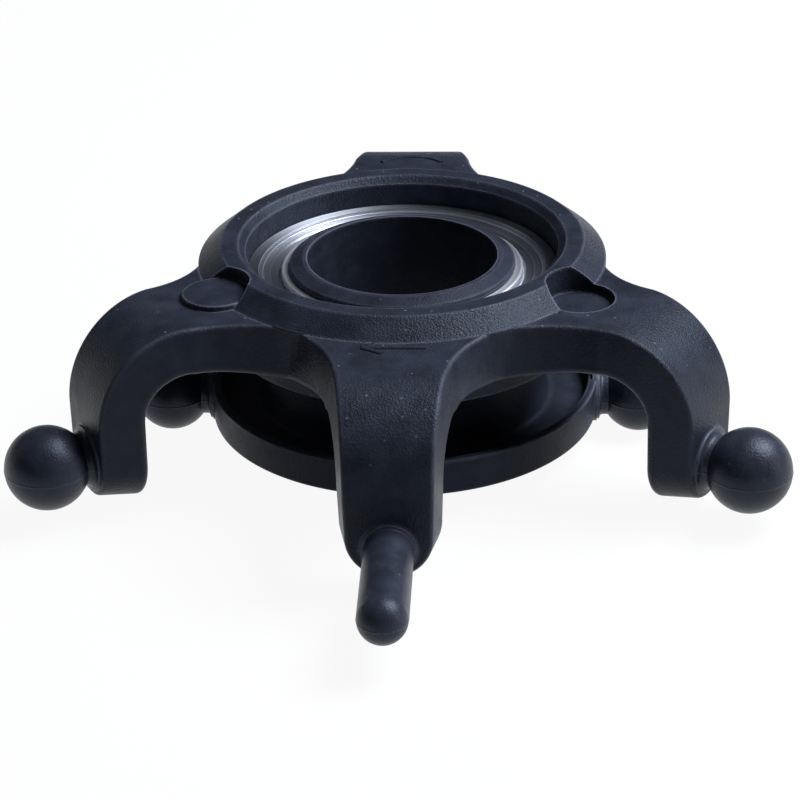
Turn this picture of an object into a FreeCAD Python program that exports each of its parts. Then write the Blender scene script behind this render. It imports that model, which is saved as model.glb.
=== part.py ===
"""Helicopter swashplate: a moulded outer spider that stands still, a moulded lower plate that
turns with the rotor, and the thin-section ball bearing between them.

Frame: millimetres, +Z up along the mast. The origin is on the mast axis, level with the link
balls of the outer spider. The anti-rotation pin points along -Y and the lower plate's two link
balls lie on the X axis.
"""
import FreeCAD, Part
import math
import os
import re

import Sketcher

SIZES = {
    # bearing, a 15 x 21 x 4 thin-section ball bearing with two shields
    "bearing_bore_radius": 7.5,
    "bearing_section": 3.0,
    "bearing_width": 4.0,
    "ball_radius": 0.794,
    "ball_count": 15,
    "ball_clearance": 0.02,
    "inner_shoulder_wall": 1.0,
    "outer_shoulder_wall": 1.05,
    "inner_step_wall": 0.65,
    "outer_step_wall": 0.8,
    "inner_step_depth": 0.6,
    "race_chamfer": 0.2,
    "shield_inset": 0.12,
    "shield_thickness": 0.18,
    "shield_gap": 0.18,
    "snap_groove_depth": 0.1,
    "snap_ring_thickness": 0.16,
    "snap_ring_width": 0.4,
    "snap_ring_gap": 0.6,
    "shield_fit": 0.01,
    "cage_inner_wall": 0.28,
    "cage_outer_wall": 0.23,
    "cage_web": 0.35,
    "cage_top_rise": 0.35,
    "cage_clearance": 0.05,
    # ring of the outer spider
    "seat_height": 4.5,
    "seat_clearance": 0.01,
    "recess_depth": 2.0,
    "rim_chamfer": 0.5,
    "rim_land_width": 1.2,
    "cone_drop": 1.2,
    "ring_wall": 3.2,
    "ring_wall_depth": 3.5,
    "skirt_wall": 1.5,
    "skirt_depth": 0.6,
    # arms of the outer spider
    "side_arm_angle": 60,
    "leg_face_radius": 23.4,
    "arm_thickness": 3.05,
    "leg_thickness": 2.75,
    "bend_radius": 6.7,
    "arm_root_depth": 2.1,
    "arm_flare_reach": 0.5,
    "arm_flare_share": 0.35,
    "arm_draft_width": 0.6,
    "leg_width": 5.3,
    "foot_width": 5.1,
    "foot_rise": 0.15,
    "front_root_width": 11.2,
    "front_bend_width": 7.0,
    "side_root_width": 11.0,
    "side_bend_width": 7.3,
    "back_root_width": 11.8,
    "back_bend_width": 8.4,
    "arm_edge_round": 0.45,
    # link balls and anti-rotation pin of the outer spider
    "link_ball_radius": 2.79,
    "link_neck_radius": 1.75,
    "link_neck_length": 0.027,
    "stud_root": 0.8,
    "collar_radius": 2.2,
    "collar_length": 0.15,
    "pin_radius": 1.56,
    "pin_length": 9.55,
    # round ejector marks at the side arms
    "mark_radius": 2.17,
    "left_mark_rise": 0.3,
    "right_mark_rise": -0.6,
    # lower plate
    "sleeve_clearance": 0.01,
    "sleeve_wall": 1.09,
    "bore_chamfer": 0.3,
    "sleeve_rise": 0.8,
    "lip_overhang": 0.13,
    "lip_lift": 0.05,
    "lip_round": 0.4,
    "shoulder_wall": 0.65,
    "shoulder_depth": 1.0,
    "hub_flare": 1.85,
    "trough_height": -0.8,
    "plate_radius": 13.2,
    "plate_rim_width": 0.6,
    "plate_rim_height": 0.4,
    "plate_base_height": -2.05,
    "plate_chamfer": 0.25,
    "plate_ball_radius": 2.6,
    "plate_ball_height": -1.1,
    "plate_neck_radius": 1.1,
    "plate_neck_length": 0.544,
    "plate_boss_radius": 1.35,
    "plate_boss_length": 0.35,
}

RIM_HEIGHT = "(seat_height + bearing_width + recess_depth)"
ARM_TOP = "(" + RIM_HEIGHT + " - cone_drop)"
BEND_HEIGHT = "(" + ARM_TOP + " - bend_radius)"
BEND_AXIS = "(leg_face_radius - bend_radius)"
BALL_HEIGHT = "(seat_height + bearing_width / 2)"
RACE_RADIUS = "(ball_radius + ball_clearance)"
BEARING_RADIUS = "(bearing_bore_radius + bearing_section)"
PITCH_RADIUS = "(bearing_bore_radius + bearing_section / 2)"
INNER_SHOULDER = "(bearing_bore_radius + inner_shoulder_wall)"
OUTER_SHOULDER = "(" + BEARING_RADIUS + " - outer_shoulder_wall)"
INNER_STEP = "(bearing_bore_radius + inner_step_wall)"
OUTER_STEP = "(" + BEARING_RADIUS + " - outer_step_wall)"
CAGE_OUTER = "(" + PITCH_RADIUS + " + cage_outer_wall)"
RING_RADIUS = "(" + BEARING_RADIUS + " + ring_wall)"
SLEEVE_RADIUS = "(bearing_bore_radius - sleeve_clearance)"
MAST_BORE = "(" + SLEEVE_RADIUS + " - sleeve_wall)"
LIP_RADIUS = "(" + SLEEVE_RADIUS + " + lip_overhang)"
SHOULDER_RADIUS = "(bearing_bore_radius + shoulder_wall)"
BEND_STEPS = 4
UP = FreeCAD.Vector(0, 0, 1)

doc = FreeCAD.newDocument("swashplate")
sheet = doc.addObject("Spreadsheet::Sheet", "Sizes")
for row, (alias, size) in enumerate(SIZES.items(), start=1):
    sheet.set(f"A{row}", alias)
    sheet.set(f"B{row}", str(size))
    sheet.setAlias(f"B{row}", alias)
doc.recompute()


def cells(expression):
    """The expression with each size's name turned into its cell in the sheet."""
    return re.sub(r"[a-z]\w+", lambda word: cell(word.group()), expression)


def cell(word):
    return "Sizes." + word if word in SIZES else word


def value(expression):
    """What the expression comes to with the sheet's sizes."""
    return float(sheet.evalExpression(cells(expression)))


def bind(thing, prop, expression):
    """Bind a property of an object to an expression of the sheet's sizes."""
    thing.setExpression(prop, cells(expression))


# ---------------------------------------------------------------- sketches and features

def new_body(name):
    body = doc.addObject("PartDesign::Body", name)
    body.Label = name
    return body


def new_sketch(body, role, name):
    """A sketch on one of the body's own origin planes."""
    sketch = body.newObject("Sketcher::SketchObject", name)
    plane = [item for item in body.Origin.OriginFeatures if item.Role == role][0]
    sketch.AttachmentSupport = [(plane, "")]
    sketch.MapMode = "FlatFace"
    return sketch


def hold(sketch, kind, places, expression):
    """Add a dimension to the sketch and bind it to the expression."""
    index = sketch.addConstraint(Sketcher.Constraint(kind, *places, value(expression)))
    sketch.setExpression(f"Constraints[{index}]", cells(expression))


def arc_between(start, end, radius, turn, major):
    """The arc from start to end: turn is 1 counter-clockwise, -1 clockwise."""
    chord = end - start
    half = chord.Length / 2
    side = -turn if major else turn
    across = FreeCAD.Vector(-chord.y, chord.x, 0).normalize()
    lift = math.sqrt(max(radius * radius - half * half, 0.0))
    centre = (start + end) * 0.5 + across * (side * lift)
    angles = [math.atan2(p.y - centre.y, p.x - centre.x) for p in (start, end)]
    if turn < 0:
        angles.reverse()
    circle = Part.Circle(centre, FreeCAD.Vector(0, 0, 1), radius)
    return Part.ArcOfCircle(circle, angles[0], angles[1])


def outline(sketch, corners, arcs=None):
    """Draw a closed profile. A corner is two expressions, and arcs gives, by the corner that it
    leaves, an arc's radius expression, its turn and whether it is the longer way round."""
    arcs = arcs or {}
    points = [FreeCAD.Vector(value(x), value(y), 0) for x, y in corners]
    ends = []
    for index, start in enumerate(points):
        end = points[(index + 1) % len(points)]
        if index in arcs:
            radius, turn, major = arcs[index]
            edge = arc_between(start, end, value(radius), turn, major)
            ends.append((1, 2) if turn > 0 else (2, 1))
        else:
            edge = Part.LineSegment(start, end)
            ends.append((1, 2))
        sketch.addGeometry(edge, False)
    for index, (x, y) in enumerate(corners):
        previous = (index - 1) % len(corners)
        join = (previous, ends[previous][1], index, ends[index][0])
        sketch.addConstraint(Sketcher.Constraint("Coincident", *join))
        hold(sketch, "DistanceX", (-1, 1, index, ends[index][0]), x)
        hold(sketch, "DistanceY", (-1, 1, index, ends[index][0]), y)
    for index, (radius, _turn, _major) in arcs.items():
        hold(sketch, "Radius", (index,), radius)


def revolve(body, name, corners, arcs=None, axis="V_Axis", plane="XZ_Plane", angle="360",
            lift="0", rise="0", flip=False):
    """A profile turned about the sketch's own upright axis, or about its level axis. The sketch
    can be lifted along its own height and rise off its plane, and flip turns it the other way."""
    sketch = new_sketch(body, plane, name + "_profile")
    place = FreeCAD.Vector(0, value(lift), value(rise))
    sketch.AttachmentOffset = FreeCAD.Placement(place, FreeCAD.Rotation())
    bind(sketch, "AttachmentOffset.Base.y", lift)
    bind(sketch, "AttachmentOffset.Base.z", rise)
    outline(sketch, corners, arcs)
    feature = body.newObject("PartDesign::Revolution", name)
    feature.Profile = sketch
    feature.ReferenceAxis = (sketch, [axis])
    bind(feature, "Angle", angle)
    feature.Reversed = flip
    sketch.Visibility = False
    doc.recompute()
    return feature


def cylinder(name, radius, low, high, x="0", y="0"):
    """An upright cylinder between two heights."""
    solid = doc.addObject("Part::Cylinder", name)
    bind(solid, "Radius", radius)
    bind(solid, "Height", f"({high}) - ({low})")
    bind(solid, "Placement.Base.x", x)
    bind(solid, "Placement.Base.y", y)
    bind(solid, "Placement.Base.z", low)
    return solid


# ---------------------------------------------------------------- outer spider

def make_ring():
    """The bearing's housing: seat, recess above it, rim with a cone outside, and a skirt."""
    body = new_body("spider_ring")
    rim_inner = BEARING_RADIUS + " + rim_chamfer"
    bore = BEARING_RADIUS + " + seat_clearance"
    skirt = BEARING_RADIUS + " + skirt_wall"
    wall_foot = f"{ARM_TOP} - ring_wall_depth"
    revolve(body, "ring_turned", (
        (OUTER_STEP, "seat_height - skirt_depth"),
        (skirt, "seat_height - skirt_depth"),
        (skirt, wall_foot),
        (RING_RADIUS, wall_foot),
        (RING_RADIUS, ARM_TOP),
        (rim_inner + " + rim_land_width", RIM_HEIGHT),
        (rim_inner, RIM_HEIGHT),
        (bore, f"{RIM_HEIGHT} - rim_chamfer"),
        (bore, "seat_height"),
        (OUTER_STEP, "seat_height"),
    ))
    return body


def arm_round(height, half_width):
    """Where the round at an arm's outer edge starts on the outer face and ends on the side face,
    as distances from the middle line and a drop from the outer face."""
    height = f"({height})"
    side = f"sqrt(arm_draft_width^2 + {height}^2)"
    reach = f"(arm_edge_round * ({side} - arm_draft_width) / {height})"
    start = f"({half_width} - {reach})"
    end = f"({half_width} + {reach} * arm_draft_width / {side})"
    drop = f"({reach} * {height} / {side})"
    return start, end, drop


def arm_section(body, name, centre_x, centre_z, angle, inner, width):
    """A trapezium across the arm, wider on its inner side and rounded at its outer edges. Its
    heights are measured from the bend's centre, turned by angle from upright towards the leg."""
    sketch = new_sketch(body, "YZ_Plane", name)
    turn = FreeCAD.Rotation(FreeCAD.Vector(1, 0, 0), angle)
    place = FreeCAD.Vector(0, value(centre_z), value(centre_x))
    sketch.AttachmentOffset = FreeCAD.Placement(place, turn)
    bind(sketch, "AttachmentOffset.Base.y", centre_z)
    bind(sketch, "AttachmentOffset.Base.z", centre_x)
    start, end, drop = arm_round(f"bend_radius - ({inner})", f"({width}) / 2")
    wide = f"(({width}) / 2 + arm_draft_width)"
    outline(sketch, (
        (f"-{wide}", inner),
        (wide, inner),
        (end, f"bend_radius - {drop}"),
        (start, "bend_radius"),
        (f"-{start}", "bend_radius"),
        (f"-{end}", f"bend_radius - {drop}"),
    ), {2: ("arm_edge_round", 1, False), 4: ("arm_edge_round", 1, False)})
    sketch.Visibility = False
    return sketch


def make_arm(name, direction, root_width, bend_width, make_stud):
    """A claw arm along +X: out from the ring, over a bend and down a leg with a round foot. It is
    then turned about the mast to its direction."""
    body = new_body(name)
    root_inner = "bend_radius - ring_wall_depth"
    flare_inner = "bend_radius - (ring_wall_depth + arm_thickness) / 2"
    flare_width = f"{bend_width} + ({root_width} - {bend_width}) * arm_flare_share"
    sections = [
        arm_section(body, name + "_root", RING_RADIUS + " - arm_root_depth", BEND_HEIGHT, 0,
                    root_inner, root_width),
        arm_section(body, name + "_flare", RING_RADIUS + " + arm_flare_reach", BEND_HEIGHT, 0,
                    flare_inner, flare_width),
    ]
    for step in range(BEND_STEPS + 1):
        share = step / BEND_STEPS
        width = f"{bend_width} + (leg_width - {bend_width}) * {share}"
        inner = f"bend_radius - (arm_thickness + (leg_thickness - arm_thickness) * {share})"
        sections.append(arm_section(body, f"{name}_bend_{step}", BEND_AXIS, BEND_HEIGHT, 90 * share,
                                    inner, width))
    sections.append(arm_section(body, name + "_foot", BEND_AXIS, "foot_rise", 90,
                                "bend_radius - leg_thickness", "foot_width"))
    doc.recompute()
    knee = BEND_STEPS + 2
    for label, first, last in (("out", 0, 2), ("bend", 2, knee), ("leg", knee, knee + 1)):
        loft = body.newObject("PartDesign::AdditiveLoft", f"{name}_{label}")
        loft.Profile = sections[first]
        loft.Sections = sections[first + 1:last + 1]
        doc.recompute()
    leg_inner = "leg_face_radius - leg_thickness"
    start, end, drop = arm_round("leg_thickness", "foot_width / 2")
    revolve(body, name + "_foot_end", (
        (leg_inner, "0"),
        ("leg_face_radius", "0"),
        ("leg_face_radius", start),
        (f"leg_face_radius - {drop}", end),
        (leg_inner, "foot_width / 2 + arm_draft_width"),
    ), {2: ("arm_edge_round", 1, False)}, axis="H_Axis", plane="XY_Plane", angle="180", flip=True,
        rise="foot_rise")
    make_stud(body, name + "_stud")
    body.Placement = FreeCAD.Placement(FreeCAD.Vector(), FreeCAD.Rotation(UP, 90))
    bind(body, "Placement.Rotation.Angle", direction)
    return body


def collar(shaft_radius):
    """The root of a stud on a leg: a collar that blends down to the shaft by a hollow quarter. Also
    gives where the blend ends."""
    blend = f"(collar_radius - {shaft_radius})"
    end = f"(leg_face_radius + collar_length + {blend})"
    return (
        ("leg_face_radius - stud_root", "0"),
        ("leg_face_radius - stud_root", "collar_radius"),
        ("leg_face_radius + collar_length", "collar_radius"),
        (end, shaft_radius),
    ), {2: (blend, 1, False)}, end


def make_link_ball(body, name):
    """A link ball on a short neck, level with the origin."""
    corners, arcs, end = collar("link_neck_radius")
    meet = f"{end} + link_neck_length"
    revolve(body, name, corners + (
        (meet, "link_neck_radius"),
        (f"{meet} + sqrt(link_ball_radius^2 - link_neck_radius^2) + link_ball_radius", "0"),
    ), {**arcs, 4: ("link_ball_radius", -1, False)}, axis="H_Axis")


def make_pin(body, name):
    """The anti-rotation pin, with a ball end, level with the origin."""
    corners, arcs, _end = collar("pin_radius")
    revolve(body, name, corners + (
        ("leg_face_radius + pin_length - pin_radius", "pin_radius"),
        ("leg_face_radius + pin_length", "0"),
    ), {**arcs, 4: ("pin_radius", -1, False)}, axis="H_Axis")


def make_marks(spider):
    """Round ejector marks where the side arms meet the ring: a flat disc on each arm's top that
    is cut straight down into the cone of the rim."""
    x = RING_RADIUS + " * sin(side_arm_angle * 1deg)"
    y = "-" + RING_RADIUS + " * cos(side_arm_angle * 1deg)"
    foot = f"{ARM_TOP} - ring_wall_depth / 2"
    pad = cylinder("left_mark_pad", "mark_radius", foot, f"{ARM_TOP} + left_mark_rise", f"-{x}", y)
    spider = join("spider_with_pad", [spider, pad])
    for side, sign, floor in (("left", "-", "left_mark_rise"), ("right", "", "right_mark_rise")):
        above = cylinder(f"{side}_mark_cut", "mark_radius", f"{ARM_TOP} + {floor}",
                         f"{RIM_HEIGHT} + cone_drop", sign + x, y)
        spider = cut(f"spider_with_{side}_mark", spider, above)
    return spider


def join(name, pieces):
    fused = doc.addObject("Part::MultiFuse", name)
    fused.Shapes = pieces
    fused.Refine = True
    return fused


def cut(name, base, tool):
    result = doc.addObject("Part::Cut", name)
    result.Base = base
    result.Tool = tool
    return result


def make_outer_spider():
    ring = make_ring()
    arms = [
        make_arm("front_arm", "-90", "front_root_width", "front_bend_width", make_pin),
        make_arm("right_arm", "-90 + side_arm_angle", "side_root_width", "side_bend_width",
                 make_link_ball),
        make_arm("left_arm", "-90 - side_arm_angle", "side_root_width", "side_bend_width",
                 make_link_ball),
        make_arm("back_arm", "90", "back_root_width", "back_bend_width", make_link_ball),
    ]
    return make_marks(join("spider_moulding", [ring] + arms))


# ---------------------------------------------------------------- ball bearing

BEARING_TOP = "(seat_height + bearing_width)"
SHIELD_DEPTH = "(shield_inset + snap_ring_thickness + shield_thickness)"


def make_outer_race():
    """The fixed race: a raceway inside, and at each face a step and a groove for a shield and its
    snap ring."""
    body = new_body("bearing_outer_race")
    groove = OUTER_STEP + " + snap_groove_depth"
    steps = (
        (OUTER_STEP, "0"),
        (OUTER_STEP, "shield_inset"),
        (groove, "shield_inset"),
        (groove, "shield_inset + snap_ring_thickness"),
        (OUTER_STEP, "shield_inset + snap_ring_thickness"),
        (OUTER_STEP, SHIELD_DEPTH),
        (OUTER_SHOULDER, SHIELD_DEPTH),
    )
    half = f"sqrt({RACE_RADIUS}^2 - ({OUTER_SHOULDER} - {PITCH_RADIUS})^2)"
    corners = [
        (BEARING_RADIUS + " - race_chamfer", "seat_height"),
        (BEARING_RADIUS, "seat_height + race_chamfer"),
        (BEARING_RADIUS, f"{BEARING_TOP} - race_chamfer"),
        (BEARING_RADIUS + " - race_chamfer", BEARING_TOP),
    ]
    corners += [(x, f"{BEARING_TOP} - ({depth})") for x, depth in steps]
    corners.append((OUTER_SHOULDER, f"{BALL_HEIGHT} + {half}"))
    raceway = len(corners) - 1
    corners.append((OUTER_SHOULDER, f"{BALL_HEIGHT} - {half}"))
    corners += [(x, f"seat_height + ({depth})") for x, depth in reversed(steps)]
    revolve(body, "outer_race_turned", corners, {raceway: (RACE_RADIUS, -1, False)})
    return body


def make_inner_race():
    """The turning race: a raceway outside, with a step at each face that clears the shields."""
    body = new_body("bearing_inner_race")
    half = f"sqrt({RACE_RADIUS}^2 - ({PITCH_RADIUS} - {INNER_SHOULDER})^2)"
    revolve(body, "inner_race_turned", (
        ("bearing_bore_radius", "seat_height + race_chamfer"),
        ("bearing_bore_radius + race_chamfer", "seat_height"),
        (INNER_STEP, "seat_height"),
        (INNER_STEP, "seat_height + inner_step_depth"),
        (INNER_SHOULDER, "seat_height + inner_step_depth"),
        (INNER_SHOULDER, f"{BALL_HEIGHT} - {half}"),
        (INNER_SHOULDER, f"{BALL_HEIGHT} + {half}"),
        (INNER_SHOULDER, f"{BEARING_TOP} - inner_step_depth"),
        (INNER_STEP, f"{BEARING_TOP} - inner_step_depth"),
        (INNER_STEP, BEARING_TOP),
        ("bearing_bore_radius + race_chamfer", BEARING_TOP),
        ("bearing_bore_radius", f"{BEARING_TOP} - race_chamfer"),
    ), {5: (RACE_RADIUS, -1, False)})
    return body


def flat_ring(body, name, inner, outer, low, high, angle="360"):
    """A flat ring between two heights, or an open ring of less than a full circle."""
    revolve(body, name, ((inner, low), (outer, low), (outer, high), (inner, high)), angle=angle)


def make_shield(side, level):
    """A sheet-steel shield in the outer race's step. Level gives a height from its depth."""
    body = new_body(f"bearing_shield_{side}")
    heights = sorted((level(SHIELD_DEPTH), level("(shield_inset + snap_ring_thickness)")), key=value)
    flat_ring(body, f"shield_{side}_disc", f"{INNER_STEP} + shield_gap",
              f"{OUTER_STEP} - shield_fit", *heights)
    return body


def make_snap_ring(side, level):
    """The open wire ring that holds a shield, sprung into the outer race's groove."""
    body = new_body(f"shield_snap_ring_{side}")
    outer = OUTER_STEP + " + snap_groove_depth - shield_fit"
    heights = sorted((level("(shield_inset + snap_ring_thickness)"), level("shield_inset")), key=value)
    flat_ring(body, f"snap_ring_{side}_wire", f"{outer} - snap_ring_width", outer, *heights,
              angle=f"360 - snap_ring_gap / {OUTER_STEP} * 180 / pi")
    return body


def from_top(depth):
    return f"{BEARING_TOP} - {depth}"


def from_bottom(depth):
    return f"seat_height + {depth}"


def make_cage():
    """A crown cage: a ring with one open round pocket for each ball."""
    body = new_body("bearing_cage")
    pocket = "(ball_radius + cage_clearance)"
    flat_ring(body, "cage_ring", f"{PITCH_RADIUS} - cage_inner_wall", CAGE_OUTER,
              f"{BALL_HEIGHT} - {pocket} - cage_web", f"{BALL_HEIGHT} + cage_top_rise")
    sketch = new_sketch(body, "XZ_Plane", "cage_pocket_profile")
    circle = Part.Circle(FreeCAD.Vector(0, value(BALL_HEIGHT), 0), UP, value(pocket))
    sketch.addGeometry(circle, False)
    sketch.addConstraint(Sketcher.Constraint("PointOnObject", 0, 3, -2))
    hold(sketch, "DistanceY", (-1, 1, 0, 3), BALL_HEIGHT)
    hold(sketch, "Radius", (0,), pocket)
    sketch.Visibility = False
    hole = body.newObject("PartDesign::Pocket", "cage_pocket")
    hole.Profile = sketch
    hole.Reversed = True
    bind(hole, "Length", CAGE_OUTER + " + cage_clearance")
    doc.recompute()
    pattern = body.newObject("PartDesign::PolarPattern", "cage_pockets")
    pattern.Originals = [hole]
    pattern.Axis = (sketch, ["V_Axis"])
    pattern.Angle = 360
    bind(pattern, "Occurrences", "ball_count")
    body.Tip = pattern
    doc.recompute()
    return body


def make_ball(number):
    """One ball of the ring of balls, the first of them over the front arm."""
    ball = doc.addObject("Part::Sphere", f"bearing_ball_{number:02d}")
    turn = f"(360deg * {number - 1} / ball_count)"
    bind(ball, "Radius", "ball_radius")
    bind(ball, "Placement.Base.x", f"{PITCH_RADIUS} * sin{turn}")
    bind(ball, "Placement.Base.y", f"-{PITCH_RADIUS} * cos{turn}")
    bind(ball, "Placement.Base.z", BALL_HEIGHT)
    return ball


# ---------------------------------------------------------------- lower plate

def make_lower_plate():
    """A dished plate with a hub that carries the bearing, a sleeve through it whose lip snaps over
    the inner race, and a link ball on each side."""
    body = new_body("lower_plate")
    top = f"{BEARING_TOP} + sleeve_rise"
    rim_inner = "plate_radius - plate_rim_width"
    revolve(body, "plate_turned", (
        (MAST_BORE, "plate_base_height + bore_chamfer"),
        (MAST_BORE + " + bore_chamfer", "plate_base_height"),
        ("plate_radius - plate_chamfer", "plate_base_height"),
        ("plate_radius", "plate_base_height + plate_chamfer"),
        ("plate_radius", "plate_rim_height"),
        (rim_inner, "plate_rim_height"),
        (rim_inner, "trough_height"),
        (SHOULDER_RADIUS + " + hub_flare", "trough_height"),
        (SHOULDER_RADIUS, "seat_height - shoulder_depth"),
        (SHOULDER_RADIUS, "seat_height"),
        (SLEEVE_RADIUS, "seat_height"),
        (SLEEVE_RADIUS, f"{BEARING_TOP} + lip_lift"),
        (LIP_RADIUS, f"{BEARING_TOP} + lip_lift"),
        (LIP_RADIUS, f"{top} - lip_round"),
        (LIP_RADIUS + " - lip_round", top),
        (MAST_BORE + " + lip_round", top),
        (MAST_BORE, f"{top} - lip_round"),
    ), {13: ("lip_round", 1, False), 15: ("lip_round", 1, False)})
    root = "plate_radius - plate_rim_width / 2"
    meet = "plate_radius + plate_neck_length"
    stud = revolve(body, "plate_stud", (
        (root, "0"),
        (root, "plate_boss_radius"),
        ("plate_radius", "plate_boss_radius"),
        ("plate_radius + plate_boss_length", "plate_neck_radius"),
        (meet, "plate_neck_radius"),
        (f"{meet} + sqrt(plate_ball_radius^2 - plate_neck_radius^2) + plate_ball_radius", "0"),
    ), {4: ("plate_ball_radius", -1, False)}, axis="H_Axis", lift="plate_ball_height")
    side = [item for item in body.Origin.OriginFeatures if item.Role == "YZ_Plane"][0]
    mirror = body.newObject("PartDesign::Mirrored", "plate_studs")
    mirror.Originals = [stud]
    mirror.MirrorPlane = (side, [""])
    body.Tip = mirror
    doc.recompute()
    return body


# ---------------------------------------------------------------- the assembly

def make_all():
    nodes = {
        "outer_spider": make_outer_spider(),
        "lower_plate": make_lower_plate(),
        "bearing_outer_race": make_outer_race(),
        "bearing_inner_race": make_inner_race(),
        "bearing_cage": make_cage(),
    }
    for side, level in (("top", from_top), ("bottom", from_bottom)):
        nodes[f"bearing_shield_{side}"] = make_shield(side, level)
        nodes[f"shield_snap_ring_{side}"] = make_snap_ring(side, level)
    for number in range(1, int(value("ball_count")) + 1):
        nodes[f"bearing_ball_{number:02d}"] = make_ball(number)
    doc.recompute()
    for name, item in nodes.items():
        item.Label = name
    return nodes


def check(nodes):
    """Stop if any object failed or any node is not one valid solid."""
    for item in doc.Objects:
        if "Invalid" in item.State or "Error" in item.State:
            raise RuntimeError(f"{item.Name} failed: {item.State}")
    for name, item in nodes.items():
        shape = item.Shape
        if shape.isNull() or not shape.isValid() or len(shape.Solids) != 1 or shape.Volume <= 0:
            raise RuntimeError(f"{name} is not one valid solid")


nodes = make_all()
check(nodes)
os.makedirs("parts", exist_ok=True)
for name, item in nodes.items():
    item.Shape.exportStep(f"parts/{name}.step")
    print(f"{name}: {item.Shape.Volume:.1f} mm3, {len(item.Shape.Faces)} faces")
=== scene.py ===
"""Looks of a helicopter swashplate: its two black nylon mouldings, its shielded steel bearing, and
a plain white stage. Lengths are in metres; the frame is the CAD part's own, +Z up the mast."""
import math

import bmesh
import bpy
import numpy as np
from mathutils import Matrix, Vector


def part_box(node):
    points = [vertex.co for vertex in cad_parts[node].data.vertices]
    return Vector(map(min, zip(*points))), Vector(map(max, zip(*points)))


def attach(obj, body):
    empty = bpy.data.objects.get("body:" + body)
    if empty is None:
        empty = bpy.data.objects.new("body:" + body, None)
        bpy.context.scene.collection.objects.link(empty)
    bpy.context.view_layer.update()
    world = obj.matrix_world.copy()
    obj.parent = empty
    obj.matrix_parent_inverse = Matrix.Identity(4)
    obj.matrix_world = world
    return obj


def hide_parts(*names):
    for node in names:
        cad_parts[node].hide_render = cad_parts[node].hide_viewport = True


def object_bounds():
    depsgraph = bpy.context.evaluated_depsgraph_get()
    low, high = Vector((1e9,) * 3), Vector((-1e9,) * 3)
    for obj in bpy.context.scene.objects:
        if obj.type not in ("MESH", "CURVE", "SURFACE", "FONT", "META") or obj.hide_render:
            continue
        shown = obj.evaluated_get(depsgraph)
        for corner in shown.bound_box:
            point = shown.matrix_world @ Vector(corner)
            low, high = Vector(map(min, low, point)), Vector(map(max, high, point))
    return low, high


bl_info = {
    "name": "Swashplate looks",
    "version": (1, 0, 0),
    "blender": (4, 5, 0),
    "location": "3D View > Sidebar > Swashplate",
    "description": "Makes the surfaces, finishes and stage of a helicopter swashplate",
    "category": "Object",
}

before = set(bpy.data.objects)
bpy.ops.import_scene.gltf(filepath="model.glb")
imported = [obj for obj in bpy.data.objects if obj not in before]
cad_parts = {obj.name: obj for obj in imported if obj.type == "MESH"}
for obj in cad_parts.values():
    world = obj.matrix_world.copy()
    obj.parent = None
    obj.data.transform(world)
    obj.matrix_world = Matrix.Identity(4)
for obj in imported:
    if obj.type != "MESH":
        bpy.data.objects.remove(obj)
CAD_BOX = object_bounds()
SEAT_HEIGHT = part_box("bearing_outer_race")[0].z
BEARING_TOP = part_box("bearing_outer_race")[1].z
BEARING_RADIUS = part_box("bearing_outer_race")[1].x
RIM_HEIGHT = CAD_BOX[1].z

MM = 0.001
TURN = 2 * math.pi
AROUND = 288
HOLD = 0.04 * MM
SHARP_ANGLE = math.radians(38)
MERGE = 1e-7
PIN_END_MARGIN = 1e-4
BARB_SLOPE = 1.7
BARB_WIDTH = 1.2
STROKE_ROOT = 0.2 * MM
FLOOR_REACH = 3.0
GLOW_SHARE = 0.8
GLOW_STRENGTH = 1.16
WORLD_COLOUR = (0.88, 0.92, 1.0, 1)
WORLD_STRENGTH = 0.04
LIT_POINT = Vector((0, 0, 0.005))
# Name, place, width, height, power in watts, the setting that scales it, and colour.
SOFT_BOXES = (
    ("key", (0.165, 0.042, 0.25), 0.16, 0.16, 1.36, "key", (0.9, 0.95, 1.0)),
    ("left_fill", (-0.3, 0.06, 0.12), 0.14, 0.2, 0.03, "fill", (1, 1, 1)),
    ("right_fill", (0.32, -0.06, 0.1), 0.12, 0.2, 0.16, "fill", (1, 1, 1)),
)


def length(millimetres, label, about):
    """A size that the sidebar shows."""
    return bpy.props.FloatProperty(name=label, description=about, default=millimetres * MM,
                                   unit="LENGTH", precision=5)


def angle(degrees, label, about):
    return bpy.props.FloatProperty(name=label, description=about, default=math.radians(degrees),
                                   subtype="ANGLE")


def tint(red, green, blue, label, about):
    return bpy.props.FloatVectorProperty(name=label, description=about, size=4, min=0, max=1,
                                         default=(red, green, blue, 1), subtype="COLOR")


def share(amount, label, about):
    return bpy.props.FloatProperty(name=label, description=about, default=amount, min=0)


class RingSizes(bpy.types.PropertyGroup):
    """The outer spider's ring, which houses the bearing."""
    wall_radius: length(13.7, "Wall radius", "Radius of the ring's upright outer wall")
    wall_depth: length(3.5, "Wall depth", "Height of the outer wall below the cone")
    cone_drop: length(1.2, "Cone drop", "Height of the cone between the rim and the wall")
    land: length(1.2, "Rim land", "Width of the rim's flat top")
    chamfer: length(0.5, "Rim chamfer", "Chamfer at the top of the recess above the bearing")
    skirt_radius: length(12.0, "Skirt radius", "Radius of the skirt below the wall")
    skirt_depth: length(0.6, "Skirt depth", "Depth of the skirt below the bearing's seat")
    seat_bore: length(9.7, "Seat bore", "Radius of the hole through the bearing's seat")
    edge_round: length(0.14, "Edge round", "Radius of the ring's moulded edges")


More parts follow.
